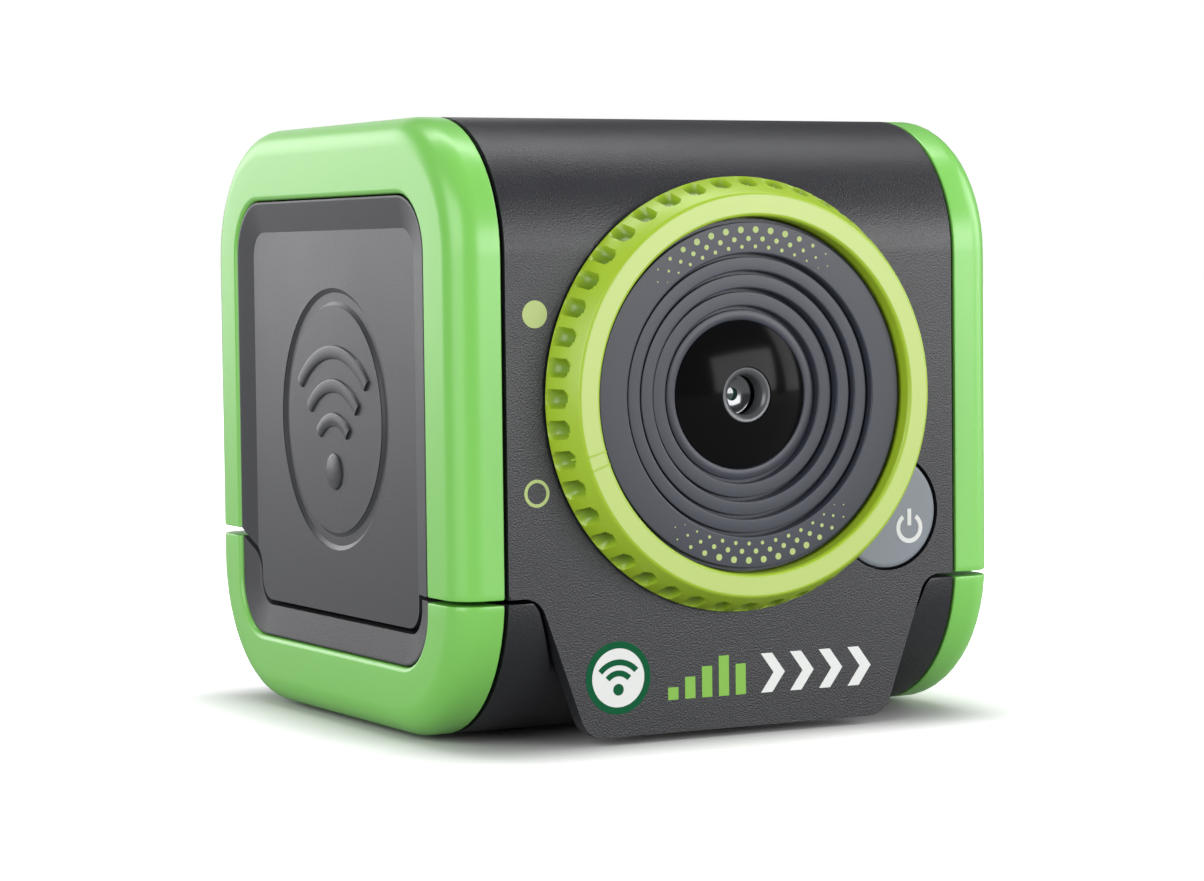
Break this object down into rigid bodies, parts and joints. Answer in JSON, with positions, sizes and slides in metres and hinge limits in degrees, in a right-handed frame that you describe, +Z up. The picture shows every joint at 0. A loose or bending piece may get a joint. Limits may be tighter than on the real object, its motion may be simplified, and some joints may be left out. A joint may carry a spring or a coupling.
{
  "type": "toy motion camera",
  "caption": "Cube-shaped toy camera with a turning lens ring that works a privacy shutter, a power button and a hinged base that opens to clip or prop it up.",
  "frame": {"origin": "middle of the outline on the floor", "axes": "+Z up, lens faces -Y, +X to the right as the lens is looked at"},
  "size_m": [0.08, 0.0874, 0.08],
  "materials": {
    "charcoal_shell": "fine textured charcoal moulding",
    "green_frame": "satin green moulding",
    "grey_panel": "satin dark grey moulding",
    "dark_liner": "textured dark moulding",
    "lime_ring": "satin yellow-green moulding",
    "black_moulding": "plain black moulding",
    "spring_steel": "thin spring steel",
    "screw_steel": "zinc plated steel",
    "pin_steel": "ground steel",
    "grey_bezel": "satin blue-grey moulding",
    "smoked_window": "glossy near-black window",
    "trim_grey": "satin grey moulding",
    "shutter_black": "matt black blade",
    "lens_glass": "coated glass",
    "sensor_chip": "moulded chip package",
    "circuit_board": "solder-masked board",
    "thermal_rubber": "soft thermal pad",
    "sink_aluminium": "anodised aluminium",
    "socket_metal": "nickel plated shell",
    "flex_film": "amber film",
    "button_grey": "satin blue-grey moulding",
    "grip_rubber": "soft grip rubber",
    "label_film": "blank matt label"
  },
  "bodies": {
    "camera_body": {"bezel_disc": "grey_bezel", "board_screws": "screw_steel", "button_board": "circuit_board", "camera_board": "circuit_board", "carrier_screws": "screw_steel", "dome_window": "smoked_window", "flex_cable": "flex_film", "front_housing": "charcoal_shell", "hdmi_socket": "socket_metal", "heat_sink": "sink_aluminium", "hinge_pins": "pin_steel", "housing_grip_pad": "grip_rubber", "housing_screws": "screw_steel", "image_sensor": "sensor_chip", "left_frame_upper": "green_frame", "left_side_panel": "grey_panel", "lens_barrel": "black_moulding", "lens_carrier": "black_moulding", "lens_front_element": "lens_glass", "lens_holder": "black_moulding", "lens_trim_ring": "trim_grey", "main_board": "circuit_board", "processor": "sensor_chip", "rear_housing": "charcoal_shell", "rear_label": "label_film", "right_frame_upper": "green_frame", "right_side_panel": "grey_panel", "shutter_guide": "black_moulding", "switch_body": "black_moulding", "thermal_pad": "thermal_rubber", "usb_c_socket": "socket_metal"},
    "lens_ring": {"lens_ring": "lime_ring", "shutter_cam": "black_moulding", "ring_retainer": "black_moulding", "retainer_screws": "screw_steel", "friction_washer": "spring_steel"},
    "shutter_leaf_upper": {"shutter_leaf_upper": "shutter_black"},
    "shutter_leaf_lower": {"shutter_leaf_lower": "shutter_black"},
    "power_button": {"power_button": "button_grey"},
    "switch_plunger": {"switch_plunger": "black_moulding"},
    "base": {"base_shell": "charcoal_shell", "base_left_frame": "green_frame", "base_right_frame": "green_frame", "base_left_liner": "dark_liner", "base_right_liner": "dark_liner", "base_cover": "charcoal_shell", "base_grip_pad": "grip_rubber", "base_screws": "screw_steel", "base_feet": "grip_rubber"}
  },
  "joints": [
    {"name": "ring_turn", "type": "hinge", "parent": "camera_body", "child": "lens_ring", "pos_m": [0, -0.03828, 0.04406], "axis": [0, 1, 0], "range_deg": [0, 42]},
    {"name": "upper_leaf_slide", "type": "slide", "parent": "camera_body", "child": "shutter_leaf_upper", "axis": [0, 0, -1], "range_m": [0, 0.0031]},
    {"name": "lower_leaf_slide", "type": "slide", "parent": "camera_body", "child": "shutter_leaf_lower", "axis": [0, 0, 1], "range_m": [0, 0.0031]},
    {"name": "button_press", "type": "slide", "parent": "camera_body", "child": "power_button", "axis": [0, 1, 0], "range_m": [0, 0.0005], "stiffness_N_per_m": 2500, "springref_m": -0.0002},
    {"name": "plunger_press", "type": "slide", "parent": "camera_body", "child": "switch_plunger", "axis": [0, 1, 0], "range_m": [0, 0.0005]},
    {"name": "base_swing", "type": "hinge", "parent": "camera_body", "child": "base", "pos_m": [0, 0.04133, 0.02375], "axis": [1, 0, 0], "range_deg": [0, 100]}
  ],
  "couplings": [
    {"joint": "upper_leaf_slide", "follows": "ring_turn", "m_per_rad": 0.0042289},
    {"joint": "lower_leaf_slide", "follows": "ring_turn", "m_per_rad": 0.0042289},
    {"joint": "plunger_press", "follows": "button_press", "ratio": 1}
  ]
}
